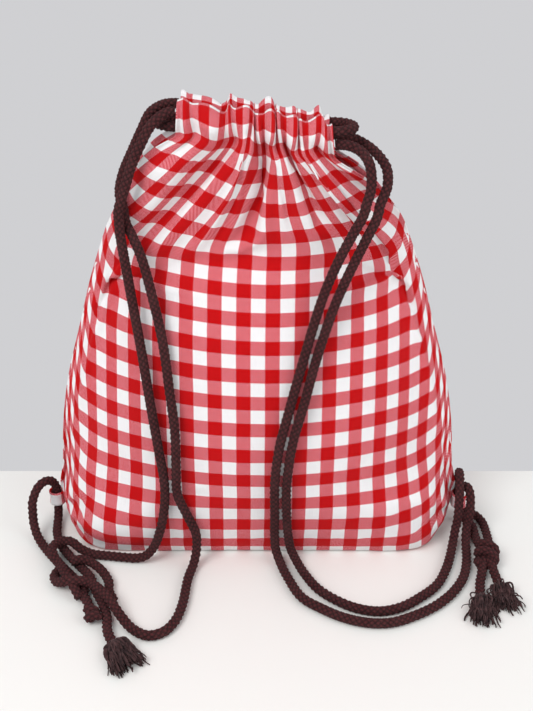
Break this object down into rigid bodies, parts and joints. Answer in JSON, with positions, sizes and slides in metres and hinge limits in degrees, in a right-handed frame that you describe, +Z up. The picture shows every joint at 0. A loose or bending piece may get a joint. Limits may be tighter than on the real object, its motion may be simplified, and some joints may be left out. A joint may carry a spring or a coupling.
{
  "type": "drawstring gift sack",
  "caption": "Gingham cotton sack that stands on its base, gathered at the mouth by two braided drawcords that also fall down the front as shoulder straps.",
  "frame": {"origin": "on the ground, under the middle of the sack without its loose cords", "axes": "+Z up, -Y the side that the straps fall down, +X to the right seen from that side"},
  "size_m": [0.361, 0.2236, 0.329],
  "materials": {
    "gingham": "red and white yarn-dyed cotton gingham twill with 10 mm checks",
    "seam": "raw seam allowance of the same gingham, overlocked",
    "cord": "dark brown round braided cotton cord, matt and slightly fuzzy",
    "fray": "loose dark brown cotton strands of the unravelled cord"
  },
  "bodies": {
    "sack": {"front_panel": "gingham", "back_panel": "gingham", "left_side_seam": "seam", "right_side_seam": "seam", "bottom_seam": "seam", "left_corner_tab": "gingham", "right_corner_tab": "gingham", "left_cord_bight": "cord", "right_cord_bight": "cord", "left_front_neck": "cord", "left_back_neck": "cord", "left_tab_pass": "cord", "right_front_neck": "cord", "right_back_neck": "cord", "right_tab_pass_front": "cord", "right_tab_pass_back": "cord"},
    "front_mouth": {"front_gather": "gingham", "front_casing": "gingham", "left_cord_front_casing_run": "cord", "right_cord_front_casing_run": "cord"},
    "back_mouth": {"back_gather": "gingham", "back_casing": "gingham", "left_cord_back_casing_run": "cord", "right_cord_back_casing_run": "cord"},
    "left_strap": {"left_front_strap": "cord", "left_back_strap": "cord", "left_tab_riser": "cord", "left_tab_return": "cord", "left_knot": "cord", "left_stub": "cord", "left_stub_bulb": "cord", "left_tail": "cord", "left_frayed_end": "fray"},
    "right_strap": {"right_front_strap": "cord", "right_back_strap": "cord", "right_return_front": "cord", "right_return_back": "cord", "right_knot": "cord", "right_tail_front": "cord", "right_tail_back": "cord", "right_frayed_front": "fray", "right_frayed_back": "fray"}
  },
  "joints": [
    {"name": "front_mouth_open", "type": "hinge", "parent": "sack", "child": "front_mouth", "pos_m": [0, -0.021, 0.2502], "axis": [1, 0, 0], "range_deg": [0, 20], "deforming": ["left_cord_bight", "right_cord_bight"]},
    {"name": "back_mouth_open", "type": "hinge", "parent": "sack", "child": "back_mouth", "pos_m": [0, 0.037, 0.2502], "axis": [-1, 0, 0], "range_deg": [0, 20]},
    {"name": "left_strap_swing", "type": "hinge", "parent": "sack", "child": "left_strap", "pos_m": [-0.1593, 0, 0.024], "axis": [-0.2851, 0.05, -0.9572], "range_deg": [0, 90], "deforming": ["left_front_neck", "left_back_neck", "left_tab_pass"]},
    {"name": "right_strap_swing", "type": "hinge", "parent": "sack", "child": "right_strap", "pos_m": [0.1593, 0, 0.024], "axis": [-0.3281, -0.08, 0.9413], "range_deg": [0, 90], "deforming": ["right_front_neck", "right_back_neck", "right_tab_pass_front", "right_tab_pass_back"]}
  ],
  "couplings": [
    {"joint": "back_mouth_open", "follows": "front_mouth_open", "ratio": 1}
  ]
}
